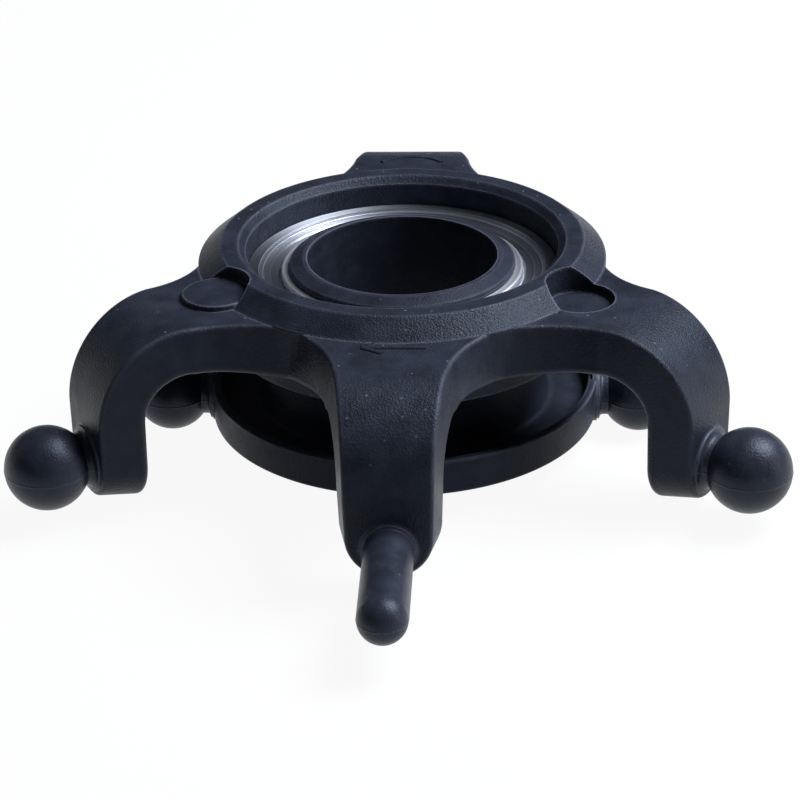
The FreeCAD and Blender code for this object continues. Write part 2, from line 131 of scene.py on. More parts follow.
class ArmSizes(bpy.types.PropertyGroup):
    """The outer spider's claw arms."""
    face: length(23.4, "Leg face", "Distance of a leg's outer face from the mast")
    bend: length(6.25, "Bend", "Outer radius of the bend into the leg")
    arm_depth: length(3.05, "Arm depth", "Thickness where the bend starts")
    leg_depth: length(3.05, "Leg depth", "Thickness of the leg")
    draft: length(0.6, "Draft", "How much wider each side is at the inner face")
    leg_half: length(2.78, "Half leg", "Half of the leg's width at its outer face")
    foot_half: length(2.7, "Half foot", "Radius of the leg's round foot at its outer face")
    foot_rise: length(0.15, "Foot rise", "Height of the round foot's centre")
    front_rise: length(0.65, "Front foot rise", "Height of the front foot's centre")
    front_half: length(3.5, "Half front arm", "Half width of the front arm at its bend")
    side_half: length(3.6, "Half side arm", "Half width of a side arm at its bend")
    back_half: length(4.05, "Half back arm", "Half width of the back arm at its bend")
    side_angle: angle(60, "Side angle", "Angle of the side arms from the front arm")
    root_fillet: length(9.0, "Root fillet", "Radius of an arm's fillet beside a near neighbour")
    back_fillet: length(6.0, "Back fillet", "Radius of an arm's fillet beside a far neighbour")
    outer_round: length(0.28, "Outer round", "Radius of the edges of an arm's outer face")
    inner_round: length(0.4, "Inner round", "Radius of the edges of an arm's inner face")


class StudSizes(bpy.types.PropertyGroup):
    """Moulded link balls and the anti-rotation pin."""
    ball: length(2.79, "Ball", "Radius of the outer spider's link balls")
    reach: length(26.2, "Reach", "Distance of a link ball's centre from the mast")
    neck: length(1.75, "Neck", "Radius of a link ball's neck")
    collar: length(2.2, "Collar", "Radius of the collar at a stud's root")
    collar_length: length(0.15, "Collar length", "How far the collar stands off the leg")
    collar_edge: length(0.05, "Collar edge", "Radius of a collar's edge")
    flange: length(0.14, "Flange", "Width of the thin flange round a collar")
    flange_height: length(0.01, "Flange height", "How far the flange stands off the leg")
    flange_fillet: length(0.07, "Flange fillet", "Fillet between a flange and its collar")
    buried: length(0.3, "Buried", "How far a stud's root goes into the wall")
    blend: share(0.85, "Blend", "Hollow blend of a collar into its shaft, as a share of the step")
    pin_collar: length(1.76, "Pin collar", "Radius of the collar at the pin's root")
    pin: length(1.56, "Pin", "Radius of the anti-rotation pin")
    pin_reach: length(32.95, "Pin reach", "Distance of the pin's round end from the mast")
    seam_height: length(0.022, "Seam height", "How far the mould's parting line stands proud")
    seam_width: length(0.05, "Seam width", "Half width of the mould's parting line")


class PlateSizes(bpy.types.PropertyGroup):
    """The lower plate, which turns with the rotor."""
    bore: length(6.4, "Bore", "Radius of the bore for the mast")
    sleeve: length(7.49, "Sleeve", "Radius of the sleeve that carries the bearing")
    lip: length(7.62, "Lip", "Radius of the lip that snaps over the inner race")
    rise: length(0.8, "Sleeve rise", "How far the sleeve stands above the bearing")
    shoulder: length(8.15, "Shoulder", "Radius of the shoulder below the inner race")
    hub: length(10.0, "Hub", "Radius of the hub's foot")
    floor: length(-0.8, "Floor", "Height of the plate's dished floor")
    radius: length(13.2, "Radius", "Radius of the plate")
    rim_width: length(0.6, "Rim width", "Width of the plate's rim")
    rim: length(0.4, "Rim", "Height of the plate's rim")
    base: length(-2.05, "Base", "Height of the plate's underside")
    ball: length(2.6, "Ball", "Radius of the plate's link balls")
    reach: length(16.1, "Reach", "Distance of the plate's link balls from the mast")
    ball_height: length(-1.1, "Ball height", "Height of the plate's link balls")
    neck: length(1.5, "Neck", "Radius of the neck of the plate's link balls")
    boss: length(1.8, "Boss", "Radius of the boss at a neck's root")
    boss_length: length(0.2, "Boss length", "How far the boss stands off the plate")
    lip_gap: length(0.05, "Lip gap", "Clearance between the lip and the bearing")
    lead_width: length(0.32, "Lead-in land", "Width of the flat at the sleeve's top")
    lead_depth: length(0.42, "Lead-in depth", "Depth of the cone at the sleeve's top")
    shoulder_depth: length(1.0, "Shoulder depth", "Height of the upright wall below the bearing")


class BearingSizes(bpy.types.PropertyGroup):
    """The shielded ball bearing between the two mouldings."""
    edge: length(0.16, "Edge", "Radius of the races' edges at their seats")
    land_edge: length(0.13, "Land edge", "Radius of the edge of the inner race's land")
    groove_edge: length(0.02, "Groove edge", "Radius of the edges of the outer race's grooves")
    race_edge: length(0.05, "Race edge", "Radius of the inner race's other edges")
    shield_edge: length(0.04, "Shield edge", "Radius of a shield's edges")
    spring_edge: length(0.05, "Snap ring edge", "Radius of a snap ring's edges")
    step: length(9.7, "Step", "Radius of the step that holds a shield")
    groove: length(9.8, "Groove", "Radius of the groove for a snap ring")
    outer_shoulder: length(9.45, "Outer shoulder", "Bore of the outer race between the shields")
    inset: length(0.12, "Inset", "Depth of a snap ring's groove below the race's face")
    wire: length(0.16, "Wire", "Thickness of a snap ring")
    sheet: length(0.18, "Sheet", "Thickness of a shield")
    bore: length(7.5, "Bore", "Radius of the inner race's bore")
    land: length(8.15, "Land", "Radius of the inner race's land beside a shield")
    body: length(8.5, "Body", "Radius of the inner race between the shields")
    cut: length(0.6, "Cut", "Width of the land beside a shield")
    hole: length(8.33, "Shield hole", "Radius of a shield's hole")
    fold: length(0.1, "Fold", "How deep a shield's middle lies below its border")
    fold_inner: length(8.86, "Fold foot", "Radius at the foot of a shield's fold")
    fold_outer: length(9.0, "Fold top", "Radius at the top of a shield's fold")
    fold_lean: length(0.04, "Fold lean", "How much nearer the mast the fold's underside lies")
    shield: length(9.69, "Shield", "Outer radius of a shield")
    spring_bore: length(9.39, "Snap ring bore", "Inner radius of a snap ring")
    spring: length(9.79, "Snap ring", "Outer radius of a snap ring")
    gap: length(0.6, "Snap ring gap", "Width of the gap in a snap ring")


class MarkSizes(bpy.types.PropertyGroup):
    """Ejector marks and arrows on the outer spider."""
    ejector: length(2.25, "Ejector", "Radius of the round ejector marks")
    distance: length(13.7, "Distance", "Distance of the ejector marks from the mast")
    left_rise: length(0.35, "Left rise", "How far the left mark stands above its arm")
    right_rise: length(-0.6, "Right rise", "How far the right mark stands above its arm")
    pad_round: length(0.1, "Pad round", "Radius of the left mark's edge")
    stroke: length(0.36, "Stroke", "Width of an arrow's stroke")
    relief: length(0.12, "Relief", "How far an arrow stands proud")
    arrow: length(14.35, "Arrow", "Distance of the straight arrow from the mast")
    tip: length(-1.9, "Arrow tip", "Place of the straight arrow's tip along the arm's width")
    tail: length(2.1, "Arrow tail", "Place of the straight arrow's tail along the arm's width")
    near_barb: length(0.75, "Near barb", "How far the outer barb reaches to its side")
    far_barb: length(0.45, "Far barb", "How far the inner barb reaches to its side")
    curve: length(15.7, "Curve", "Distance of the curved arrow's centre from the mast")
    curve_half: length(2.3, "Half curve", "Half width of the curved arrow's ellipse")
    curve_rise: length(1.6, "Curve rise", "Half depth of the curved arrow's ellipse")
    curve_end: angle(20, "Curve end", "Angle at which the curved arrow's ellipse starts and ends")


class Finishes(bpy.types.PropertyGroup):
    """Colours and grain of the finishes."""
    nylon: tint(0.0280, 0.0335, 0.0520, "Nylon", "Black nylon, faintly blue")
    scuff: tint(0.140, 0.150, 0.200, "Scuff", "Nylon where its edges are rubbed")
    dust: tint(0.26, 0.28, 0.34, "Dust", "Dust on upward faces")
    steel: tint(0.72, 0.74, 0.80, "Steel", "Ground bearing steel")
    # The shield colour also darkens the outer race: painted shade where the recess wall shades it.
    shield: tint(0.53, 0.55, 0.62, "Shield", "Pressed sheet steel")
    cage: tint(0.66, 0.62, 0.50, "Cage", "Natural nylon")
    floor: tint(0.32, 0.32, 0.32, "Floor", "The stage's floor")


class StageSettings(bpy.types.PropertyGroup):
    """The camera and the lights."""
    distance: length(180, "Distance", "Distance along the camera's view to the rim's centre")
    elevation: angle(27.24, "Elevation", "How far the camera looks down")
    azimuth: angle(3.03, "Azimuth", "How far the camera stands round from the front arm")
    roll: angle(1.23, "Roll", "How far the camera is rolled")
    aside: length(-0.35, "Aside", "How far the camera stands to the right of the rim's centre")
    below: length(10.88, "Below", "How far the camera's axis passes below the rim's centre")
    lens: share(120.7, "Lens", "Focal length in millimetres")
    key: share(1.0, "Key light", "Strength of the overhead soft box")
    fill: share(1.0, "Fill light", "Strength of the lights at the sides")


# ------------------------------------------------------------------ surfaces

def unit(vectors):
    return vectors / np.linalg.norm(vectors, axis=-1, keepdims=True)


def rounded(corners, radii, steps=6):
    """A closed profile whose corners are arcs. An arc of radius r at a corner that turns by t
    starts r tan(t/2) from the corner and turns about the point r / cos(t/2) from it, along the
    corner's bisector. One more point stands HOLD off each end of an arc, or a third of the way
    along a short straight run, so that straight runs shade flat. Corners may carry leading axes,
    one profile for each."""
    corners = np.asarray(corners, float)
    back = unit(np.roll(corners, 1, -2) - corners)
    ahead = unit(np.roll(corners, -1, -2) - corners)
    turn = math.pi - np.arccos(np.clip((back * ahead).sum(-1), -1, 1))
    turn = np.maximum(turn, MERGE)
    radii = np.broadcast_to(radii, turn.shape)
    centre = corners + unit(back + ahead) * (radii / np.cos(turn / 2))[..., None]
    reach = (radii * np.tan(turn / 2))[..., None]
    start, end = corners + back * reach, corners + ahead * reach
    straight = np.linalg.norm(np.roll(start, -1, -2) - end, axis=-1, keepdims=True) / 3
    hold_ahead = np.minimum(straight, HOLD) * (radii > 0)[..., None]
    hold_back = np.minimum(np.roll(straight, 1, -2), HOLD) * (radii > 0)[..., None]
    part = np.linspace(0, 1, steps + 1)
    first = (np.sin((1 - part) * turn[..., None]) / np.sin(turn)[..., None])[..., None]
    last = (np.sin(part * turn[..., None]) / np.sin(turn)[..., None])[..., None]
    middle = centre[..., None, :]
    arc = middle + first * (start[..., None, :] - middle) + last * (end[..., None, :] - middle)
    arc = np.concatenate([(start + back * hold_back)[..., None, :], arc,
                          (end + ahead * hold_ahead)[..., None, :]], -2)
    return arc.reshape(*corners.shape[:-2], -1, 2)


def lathe(profile, around=AROUND, sweep=TURN):
    """A profile of (radius, height) points turned about Z from -Y: the point at the angle a is
    (radius cos a, radius sin a, height)."""
    closed = sweep >= TURN
    turn = np.linspace(0, sweep, around, endpoint=not closed) + (TURN - sweep) / 2 - TURN / 4
    radius, height = profile[:, 0, None], profile[:, 1, None]
    return np.stack([radius * np.cos(turn), radius * np.sin(turn), height + 0 * turn], -1)


def grid_faces(rows, columns, wrap_rows, wrap_columns):
    """Corner numbers of a grid's quads. A wrapped side joins its last line to its first."""
    row = np.arange(rows if wrap_rows else rows - 1)[:, None]
    column = np.arange(columns if wrap_columns else columns - 1)[None, :]
    below, beside = (row + 1) % rows, (column + 1) % columns
    quads = [row * columns + column, row * columns + beside,
             below * columns + beside, below * columns + column]
    return np.stack(np.broadcast_arrays(*quads), -1).reshape(-1, 4)


def new_piece(name, points, wrap_rows=False, wrap_columns=False, material=None):
    """A mesh object of a grid of points, with its doubles merged and its faces outwards."""
    rows, columns = points.shape[:2]
    mesh = bpy.data.meshes.new(name)
    faces = grid_faces(rows, columns, wrap_rows, wrap_columns)
    mesh.from_pydata(points.reshape(-1, 3).tolist(), [], faces.tolist())
    clean(mesh)
    if material:
        mesh.materials.append(material)
    piece = bpy.data.objects.new(name, mesh)
    bpy.context.scene.collection.objects.link(piece)
    return piece


def clean(mesh):
    """Merges doubles, closes what they leave, turns faces outwards and shades them smooth up to
    SHARP_ANGLE."""
    work = bmesh.new()
    work.from_mesh(mesh)
    bmesh.ops.remove_doubles(work, verts=work.verts, dist=MERGE)
    bmesh.ops.dissolve_degenerate(work, edges=work.edges, dist=MERGE)
    bmesh.ops.recalc_face_normals(work, faces=work.faces)
    work.to_mesh(mesh)
    work.free()
    mesh.shade_smooth()
    mesh.set_sharp_from_angle(angle=SHARP_ANGLE)


def turned(points, direction):
    """Points turned about the mast from +X to a direction."""
    cos, sin = math.cos(direction), math.sin(direction)
    x, y, z = np.moveaxis(points, -1, 0)
    return np.stack([x * cos - y * sin, x * sin + y * cos, z], -1)


def combine(name, base, added, removed=()):
    """One mesh of a base with pieces added to it and others cut from it. Each face keeps the
    material of the piece that it comes from."""
    for operation, pieces in (("UNION", added), ("DIFFERENCE", removed)):
        for piece in pieces:
            step = base.modifiers.new(piece.name, "BOOLEAN")
            step.operation = operation
            step.solver = "EXACT"
            step.material_mode = "TRANSFER"
            step.object = piece
    seen = base.evaluated_get(bpy.context.evaluated_depsgraph_get())
    mesh = bpy.data.meshes.new_from_object(seen)
    mesh.name = name
    clean(mesh)
    for piece in (base, *added, *removed):
        bpy.data.objects.remove(piece)
    result = bpy.data.objects.new(name, mesh)
    bpy.context.scene.collection.objects.link(result)
    return result


def carried(piece, body, slot, *nodes):
    """The piece rides on a body and stands for CAD nodes, which it hides. The slot is not used."""
    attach(piece, body)
    if nodes:
        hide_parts(*nodes)
    return piece


# ------------------------------------------------------------------ finishes

def node(tree, kind, inputs=None, **settings):
    """A node with its settings, its inputs linked to sockets or set to values."""
    made = tree.nodes.new("ShaderNode" + kind)
    for name, value in settings.items():
        setattr(made, name, value)
    for name, value in (inputs or {}).items():
        if isinstance(value, bpy.types.NodeSocket):
            tree.links.new(value, made.inputs[name])
        else:
            made.inputs[name].default_value = value
    return made


def maths(tree, operation, *values, clamp=False):
    made = tree.nodes.new("ShaderNodeMath")
    made.operation = operation
    made.use_clamp = clamp
    for index, value in enumerate(values):
        if isinstance(value, bpy.types.NodeSocket):
            tree.links.new(value, made.inputs[index])
        else:
            made.inputs[index].default_value = value
    return made.outputs[0]


def effect(name, inputs, outputs):
    """A shader node group with named inputs and outputs; returns its tree and its two ends."""
    tree = bpy.data.node_groups.new(name, "ShaderNodeTree")
    for label, kind, default in inputs:
        socket = tree.interface.new_socket(name=label, in_out="INPUT", socket_type=kind)
        socket.default_value = default
    for label, kind in outputs:
        tree.interface.new_socket(name=label, in_out="OUTPUT", socket_type=kind)
    return tree, tree.nodes.new("NodeGroupInput").outputs, tree.nodes.new("NodeGroupOutput").inputs


def spark_grain():
    """The pitted skin that a spark-eroded mould leaves: rounded cells with finer noise on them."""
    tree, given, out = effect("Spark grain", (("Cell", "NodeSocketFloat", 0.16 * MM),),
                              (("Height", "NodeSocketFloat"), ("Patch", "NodeSocketFloat")))
    place = node(tree, "TexCoord").outputs["Object"]
    scale = maths(tree, "DIVIDE", 1.0, given["Cell"])
    cells = node(tree, "TexVoronoi", {"Vector": place, "Scale": scale, "Smoothness": 0.3},
                 feature="SMOOTH_F1").outputs["Distance"]
    fine = node(tree, "TexNoise", {"Vector": place, "Scale": maths(tree, "MULTIPLY", scale, 1.7),
                                   "Detail": 3.0, "Roughness": 0.6}).outputs["Fac"]
    patch = node(tree, "TexNoise", {"Vector": place, "Scale": maths(tree, "MULTIPLY", scale, 0.09),
                                    "Detail": 4.0, "Roughness": 0.55}).outputs["Fac"]
    mixed = maths(tree, "ADD", cells, maths(tree, "MULTIPLY", fine, 1.2))
    tree.links.new(mixed, out["Height"])
    tree.links.new(patch, out["Patch"])
    return tree


def edge_wear():
    """Where an edge is rubbed: the rounded normal leaves the true one, broken up by noise."""
    tree, given, out = effect("Edge wear", (("Reach", "NodeSocketFloat", 0.3 * MM),
                                            ("Amount", "NodeSocketFloat", 1.0)),
                              (("Mask", "NodeSocketFloat"),))
    place = node(tree, "TexCoord").outputs["Object"]
    soft = node(tree, "Bevel", {"Radius": given["Reach"]}, samples=4).outputs["Normal"]
    true = node(tree, "NewGeometry").outputs["Normal"]
    facing = node(tree, "VectorMath", {0: soft, 1: true}, operation="DOT_PRODUCT").outputs["Value"]
    bent = maths(tree, "SUBTRACT", 1.0, facing)
    rubbed = node(tree, "TexNoise", {"Vector": place, "Scale": 900.0, "Detail": 5.0}).outputs["Fac"]
    broken = maths(tree, "MULTIPLY", bent, maths(tree, "MULTIPLY", rubbed, 30.0))
    tree.links.new(maths(tree, "MULTIPLY", broken, given["Amount"], clamp=True), out["Mask"])
    return tree


def settled_dust():
    """Dust on faces that look up, thicker in patches, with single specks."""
    tree, given, out = effect("Settled dust", (("Amount", "NodeSocketFloat", 1.0),),
                              (("Mask", "NodeSocketFloat"),))
    place = node(tree, "TexCoord").outputs["Object"]
    normal = node(tree, "NewGeometry").outputs["Normal"]
    upward = maths(tree, "MAXIMUM", node(tree, "SeparateXYZ", {"Vector": normal}).outputs["Z"], 0.0)
    patch = node(tree, "TexNoise", {"Vector": place, "Scale": 260.0, "Detail": 6.0}).outputs["Fac"]
    speck = node(tree, "TexVoronoi", {"Vector": place, "Scale": 900.0}).outputs["Distance"]
    specks = maths(tree, "LESS_THAN", speck, 0.08)
    film = maths(tree, "MULTIPLY", maths(tree, "POWER", patch, 3.0), 0.10)
    both = maths(tree, "ADD", film, maths(tree, "MULTIPLY", specks, 0.35))
    laid = maths(tree, "MULTIPLY", both, upward)
    tree.links.new(maths(tree, "MULTIPLY", laid, given["Amount"], clamp=True), out["Mask"])
    return tree


def turned_rings():
    """Fine rings about the mast, as grinding or pressing leaves them on steel."""
    tree, given, out = effect("Turned rings", (("Pitch", "NodeSocketFloat", 0.05 * MM),),
                              (("Height", "NodeSocketFloat"), ("Streak", "NodeSocketFloat")))
    place = node(tree, "TexCoord").outputs["Object"]
    parts = node(tree, "SeparateXYZ", {"Vector": place}).outputs
    flat = node(tree, "CombineXYZ", {"X": parts["X"], "Y": parts["Y"]}).outputs["Vector"]
    radius = node(tree, "VectorMath", {0: flat}, operation="LENGTH").outputs["Value"]
    along = maths(tree, "ADD", radius, parts["Z"])
    scale = maths(tree, "DIVIDE", 1.0, given["Pitch"])
    ring = node(tree, "TexNoise", {"W": along, "Scale": scale, "Detail": 4.0},
                noise_dimensions="1D").outputs["Fac"]
    broad = node(tree, "TexNoise", {"W": along, "Scale": maths(tree, "MULTIPLY", scale, 0.12),
                                    "Detail": 2.0}, noise_dimensions="1D").outputs["Fac"]
    tree.links.new(ring, out["Height"])
    tree.links.new(broad, out["Streak"])
    return tree


def use(tree, group, **values):
    """A node group placed in a material with its own values."""
    made = tree.nodes.new("ShaderNodeGroup")
    made.node_tree = group
    for name, value in values.items():
        made.inputs[name].default_value = value
    return made.outputs


def new_material(name):
    """A material with an empty tree, its Principled BSDF and its output."""
    material = bpy.data.materials.new(name)
    material.use_nodes = True
    tree = material.node_tree
    shader = next(item for item in tree.nodes if item.type == "BSDF_PRINCIPLED")
    return material, tree, shader.inputs


def blend(tree, factor, low, high):
    """A colour between two colours."""
    made = tree.nodes.new("ShaderNodeMix")
    made.data_type = "RGBA"
    tree.links.new(factor, made.inputs["Factor"])
    for name, value in (("A", low), ("B", high)):
        socket = next(item for item in made.inputs if item.name == name and item.type == "RGBA")
        if isinstance(value, bpy.types.NodeSocket):
            tree.links.new(value, socket)
        else:
            socket.default_value = value
    return next(item for item in made.outputs if item.type == "RGBA")


def between(tree, factor, low, high):
    """A number between two numbers."""
    return node(tree, "MapRange", {"Value": factor, "From Min": 0.35, "From Max": 0.65,
                                   "To Min": low, "To Max": high}).outputs["Result"]


def nylon(name, colours, cell, depth, rough, gloss, wear):
    """Black moulded nylon: a skin with grain of a cell and a depth, rubbed edges and a little
    dust. Its roughness goes from the lower to the higher value in patches."""
    material, tree, shader = new_material(name)
    grain = use(tree, bpy.data.node_groups["Spark grain"], Cell=cell)
    rubbed = use(tree, bpy.data.node_groups["Edge wear"], Amount=wear)["Mask"]
    dust = use(tree, bpy.data.node_groups["Settled dust"], Amount=1.0)["Mask"]
    darker = [channel * 0.6 for channel in colours.nylon[:3]] + [1]
    skin = blend(tree, between(tree, grain["Patch"], 0, 1), darker, list(colours.nylon))
    worn = blend(tree, rubbed, skin, list(colours.scuff))
    tree.links.new(blend(tree, dust, worn, list(colours.dust)), shader["Base Color"])
    patchy = between(tree, grain["Patch"], *rough)
    dusty = maths(tree, "ADD", patchy, maths(tree, "MULTIPLY", dust, 0.3), clamp=True)
    tree.links.new(dusty, shader["Roughness"])
    bump = node(tree, "Bump", {"Height": grain["Height"], "Strength": 1.0, "Distance": depth})
    tree.links.new(bump.outputs["Normal"], shader["Normal"])
    shader["Specular IOR Level"].default_value = gloss
    shader["Specular Tint"].default_value = (0.74, 0.82, 1.0, 1)
    return material


def steel(name, colour, pitch, depth, rough, brushed):
    """Steel with fine rings about the mast, which stretch its highlights away from the mast."""
    material, tree, shader = new_material(name)
    rings = use(tree, bpy.data.node_groups["Turned rings"], Pitch=pitch)
    dull = [channel * 0.8 for channel in colour[:3]] + [1]
    tree.links.new(blend(tree, rings["Streak"], dull, list(colour)), shader["Base Color"])
    tree.links.new(between(tree, rings["Streak"], *rough), shader["Roughness"])
    bump = node(tree, "Bump", {"Height": rings["Height"], "Strength": 1.0, "Distance": depth})
    tree.links.new(bump.outputs["Normal"], shader["Normal"])
    place = node(tree, "TexCoord").outputs["Object"]
    outwards = node(tree, "VectorMath", {0: place, 1: (1, 1, 0)}, operation="MULTIPLY").outputs[0]
    tangent = node(tree, "VectorMath", {0: outwards}, operation="NORMALIZE").outputs[0]
    tree.links.new(tangent, shader["Tangent"])
    shader["Anisotropic"].default_value = brushed
    shader["Metallic"].default_value = 1.0
    return material


# ------------------------------------------------------------------ outer spider

def ring_profile(ring):
    """Half the ring's section: seat, wall of the recess, chamfer, land, cone, wall and skirt."""
    wall_top = RIM_HEIGHT - ring.cone_drop
    wall_foot = wall_top - ring.wall_depth
    skirt = SEAT_HEIGHT - ring.skirt_depth
    rim = BEARING_RADIUS + ring.chamfer
    edge = ring.edge_round
    corners = (
        (ring.seat_bore, skirt, edge),
        (ring.skirt_radius, skirt, edge),
        (ring.skirt_radius, wall_foot, edge * 2),
        (ring.wall_radius, wall_foot, edge),
        (ring.wall_radius, wall_top, edge),
        (rim + ring.land, RIM_HEIGHT, edge),
        (rim, RIM_HEIGHT, edge),
        (BEARING_RADIUS, RIM_HEIGHT - ring.chamfer, edge / 2),
        (BEARING_RADIUS, SEAT_HEIGHT, edge / 2),
        (ring.seat_bore, SEAT_HEIGHT, edge),
    )
    return rounded([corner[:2] for corner in corners], [corner[2] for corner in corners])


def arm_points(arm, ring, bend_half, foot_rise, fillets, rows=(40, 44, 12, 20)):
    """A claw arm along +X as rows of sections. The outer face runs level from the root, round a
    quarter circle and down the leg. A section is a trapezium with rounded corners: half its width
    at the outer face is w, and the draft more at the inner face. Near the ring w grows on each
    side by f - sqrt(f^2 - d^2), where f is that side's fillet radius and d how far inwards of the
    fillet's centre the row lies. The root is where the smaller fillet touches the ring's wall, so
    that it stays inside the ring. At the foot the section turns about the leg's end, so that a
    point t off the middle goes to (t cos a, -|t| sin a) and the two halves close on each other."""
    top = RIM_HEIGHT - ring.cone_drop
    bend_x, bend_z = arm.face - arm.bend, top - arm.bend
    out, over, down, foot = rows
    fillets = np.array(fillets)
    reach = ring.wall_radius + fillets
    touch = np.sqrt(reach ** 2 - (bend_half + arm.draft + fillets) ** 2)
    root = (touch * ring.wall_radius / reach).min()
    level = np.linspace(root, bend_x, out)
    lean = np.linspace(0, math.pi / 2, over + 1)[1:]
    leg = np.linspace(bend_z, foot_rise, down + 1)[1:]
    fold = np.linspace(0, math.pi / 2, foot + 1)[1:]
    x = np.concatenate([level, bend_x + arm.bend * np.sin(lean), np.full(down + foot, arm.face)])
    z = np.concatenate([np.full(out, top), bend_z + arm.bend * np.cos(lean), leg,
                        np.full(foot, foot_rise)])
    lean = np.concatenate([np.zeros(out), lean, np.full(down + foot, math.pi / 2)])
    fold = np.concatenate([np.zeros(out + over + down), fold])
    half = np.concatenate([
        np.full(out, bend_half),
        bend_half + (arm.leg_half - bend_half) * np.sin(np.linspace(0, math.pi / 2, over + 1)[1:]),
        np.linspace(arm.leg_half, arm.foot_half, down + 1)[1:], np.full(foot, arm.foot_half)])
    inwards = np.clip(touch - x[:, None], 0, touch * fillets / reach)
    half = half[:, None] + fillets - np.sqrt(fillets ** 2 - inwards ** 2)
    ease = np.clip((x - root) / (bend_x - root), 0, 1)
    depth = ring.wall_depth + (arm.arm_depth - ring.wall_depth) * ease ** 2 * (3 - 2 * ease)
    depth = depth + (arm.leg_depth - arm.arm_depth) * lean / (math.pi / 2)
    wide = half + arm.draft
    corners = np.stack([np.stack([half[:, 0], 0 * depth], -1), np.stack([wide[:, 0], -depth], -1),
                        np.stack([-wide[:, 1], -depth], -1),
                        np.stack([-half[:, 1], 0 * depth], -1)], 1)
    section = rounded(corners, (arm.outer_round, arm.inner_round, arm.inner_round,
                                arm.outer_round))
    side, height = section[..., 0], section[..., 1]
    lean, fold = lean[:, None], fold[:, None]
    points = np.stack([x[:, None] + height * np.sin(lean), side * np.cos(fold),
                       z[:, None] + height * np.cos(lean) - np.abs(side) * np.sin(fold)], -1)
    cap = np.broadcast_to(points[0].mean(0), points[:1].shape)
    return np.concatenate([cap, points])


def stud_points(profile, seam_from, stud, height=0.0, around=112):
    """A profile of (distance, radius) points turned about the X axis at a height. The angle is
    a - 0.45 sin 2a for evenly spaced a, which crowds the columns at the mould's parting plane.
    There, from the distance seam_from on, the surface moves out along its normal by the seam's
    height times exp(-(z / w)^2)."""
    even = np.linspace(0, TURN, around, endpoint=False)
    turn = even - 0.45 * np.sin(2 * even)
    x = profile[:, 0, None] + 0 * turn
    radius = profile[:, 1, None]
    points = np.stack([x, radius * np.cos(turn), radius * np.sin(turn)], -1)
    along = np.gradient(profile, axis=0)
    slope = unit(np.stack([along[:, 1], -along[:, 0]], -1) + MERGE ** 2)
    normal = np.stack([slope[:, 0, None] + 0 * turn, slope[:, 1, None] * np.cos(turn),
                       slope[:, 1, None] * np.sin(turn)], -1)
    proud = stud.seam_height * np.exp(-(points[..., 2] / stud.seam_width) ** 2)
    proud = proud * (x > seam_from) * (radius > MERGE)
    points = points - normal * proud[..., None]
    points[..., 2] += height
    return points


def stud_profile(stud, wall, length_out, collar, shaft, end, ball):
    """A stud from its root inside a wall: a thin flange, collar, hollow blend, shaft and ball. The
    ball's arc starts where its circle meets the shaft."""
    start = math.asin(shaft / ball)
    turn = np.linspace(math.pi - start, 0, 44)
    ball_arc = np.stack([end + ball * np.cos(turn), ball * np.sin(turn)], -1)
    meet = end - ball * math.cos(start)
    root, skin, face = wall - stud.buried, wall + stud.flange_height, wall + length_out
    flange = collar + stud.flange
    corners = ((root, 0), (root, flange), (skin, flange), (skin, collar), (face, collar),
               (face, shaft), (meet, shaft))
    radii = (0, 0, 0, stud.flange_fillet, stud.collar_edge, (collar - shaft) * stud.blend, 0)
    shank = rounded(corners, radii)
    steps = len(shank) // len(corners)
    return np.concatenate([shank[steps - 1:-steps], ball_arc])


def link_ball(name, arm, stud, direction, material):
    profile = stud_profile(stud, arm.face, stud.collar_length, stud.collar, stud.neck,
                           stud.reach, stud.ball)
    points = stud_points(profile, arm.face, stud)
    return new_piece(name, turned(points, direction), wrap_columns=True, material=material)


def pin_stud(name, arm, stud, direction, material):
    ball = stud.pin * (1 + PIN_END_MARGIN)
    profile = stud_profile(stud, arm.face, stud.collar_length, stud.pin_collar, stud.pin,
                           stud.pin_reach - stud.pin, ball)
    points = stud_points(profile, arm.face, stud)
    return new_piece(name, turned(points, direction), wrap_columns=True, material=material)


def disc(name, radius, low, high, place, edge, material, around=96):
    """An upright round pad with a rounded upper edge."""
    profile = rounded(((0, low), (radius, low), (radius, high), (0, high)), (0, 0, edge, 0))
    points = lathe(profile, around) + np.array([place[0], place[1], 0])
    return new_piece(name, points, wrap_columns=True, material=material)


def mark_place(arm, marks, sign):
    return (sign * marks.distance * math.sin(arm.side_angle),
            -marks.distance * math.cos(arm.side_angle))


